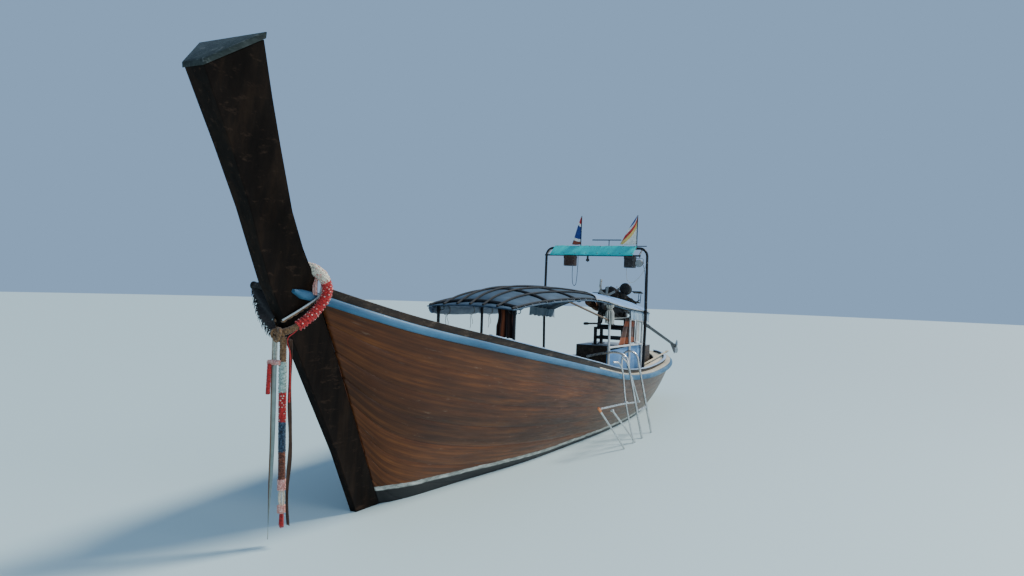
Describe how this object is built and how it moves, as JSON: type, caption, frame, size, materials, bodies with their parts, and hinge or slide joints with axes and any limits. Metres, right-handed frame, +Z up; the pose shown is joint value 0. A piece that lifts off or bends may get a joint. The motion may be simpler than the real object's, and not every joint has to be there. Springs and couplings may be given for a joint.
{
  "type": "longtail boat",
  "caption": "Wooden longtail passenger boat with a tall flared stem, arched canopy, pipe arch and a swivelling engine that drives a propeller on a long tail.",
  "frame": {"origin": "on the centreline amidships, at the waterline of the empty boat afloat", "axes": "+X towards the bow, +Y to port, +Z up"},
  "size_m": [11.2742, 1.9884, 3.5064],
  "materials": {
    "hull_wood": "weathered oil over hardwood planks",
    "stem_wood": "dark oiled hardwood",
    "rail_wood": "worn oil",
    "dark_wood": "dark worn paint",
    "cap_paint": "flat dark green paint",
    "blue_paint": "worn gloss paint",
    "cream_paint": "flat deck paint",
    "canopy_skin": "painted tarpaulin",
    "white_paint": "gloss paint on tube",
    "black_pipe": "semi-gloss paint on pipe",
    "teal_board": "gloss sheet",
    "brown_plastic": "sun-worn",
    "lamp_metal": "grey paint",
    "engine_metal": "oily black paint",
    "bright_pipe": "dulled plating",
    "propeller_metal": "cast and scuffed",
    "steel_tube": "polished tube",
    "pole_wood": "peeled pale pole",
    "curtain_cloth": "rolled sheet",
    "garland": "strung cloth and blossom",
    "flag_cloth": "banded thin cloth",
    "sash_cloth": "thin cloth"
  },
  "bodies": {
    "hull": {"fore_planks_port": "hull_wood", "fore_planks_starboard": "hull_wood", "aft_planks_port": "hull_wood", "aft_planks_starboard": "hull_wood", "side_planks_port": "hull_wood", "side_planks_starboard": "hull_wood", "keel": "hull_wood", "stern_post": "hull_wood", "stem": "stem_wood", "stem_cap": "cap_paint", "rub_rail_port": "blue_paint", "rub_rail_starboard": "blue_paint", "coaming_port": "rail_wood", "coaming_starboard": "rail_wood", "side_deck_port": "cream_paint", "side_deck_starboard": "cream_paint", "fore_deck": "rail_wood", "keelson": "rail_wood", "rib_fore": "rail_wood", "rib_waist": "rail_wood", "rib_middle": "rail_wood", "rib_after": "rail_wood", "rib_quarter": "rail_wood", "rib_stern": "rail_wood", "floor_boards": "rail_wood", "thwart_fore": "rail_wood", "thwart_middle": "rail_wood", "thwart_aft": "rail_wood", "canopy_roof": "canopy_skin", "canopy_frame": "dark_wood", "post_fore_port": "dark_wood", "post_fore_starboard": "dark_wood", "post_middle": "dark_wood", "post_quarter": "dark_wood", "rail_frame": "white_paint", "side_panel": "blue_paint", "arch_frame": "black_pipe", "arch_board": "teal_board", "horn_box_port": "brown_plastic", "horn_box_starboard": "brown_plastic", "spotlight": "lamp_metal", "flag_port": "flag_cloth", "flag_starboard": "flag_cloth", "engine_platform": "dark_wood", "engine_stand": "engine_metal", "ladder": "steel_tube", "pole": "pole_wood", "curtain_roll": "curtain_cloth", "garland_loop": "garland", "sash": "sash_cloth", "garland_drop": "garland"},
    "yoke": {"swivel_yoke": "engine_metal"},
    "engine": {"engine_block": "engine_metal", "air_cleaner": "black_pipe", "exhaust": "bright_pipe", "tail_tube": "black_pipe", "tiller": "black_pipe"},
    "screw": {"propeller": "propeller_metal"}
  },
  "joints": [
    {"name": "engine_swivel", "type": "hinge", "parent": "hull", "child": "yoke", "pos_m": [-2.25, 0, 1.13], "axis": [0, 0, 1], "range_deg": [-35, 35]},
    {"name": "engine_tilt", "type": "hinge", "parent": "yoke", "child": "engine", "pos_m": [-2.25, 0, 1.31], "axis": [0, 1, 0], "range_deg": [-8, 12]},
    {"name": "propeller_spin", "type": "hinge", "parent": "engine", "child": "screw", "pos_m": [-6.1549, 0, 0.6248], "axis": [-0.9755, 0, -0.2198], "continuous": true}
  ]
}
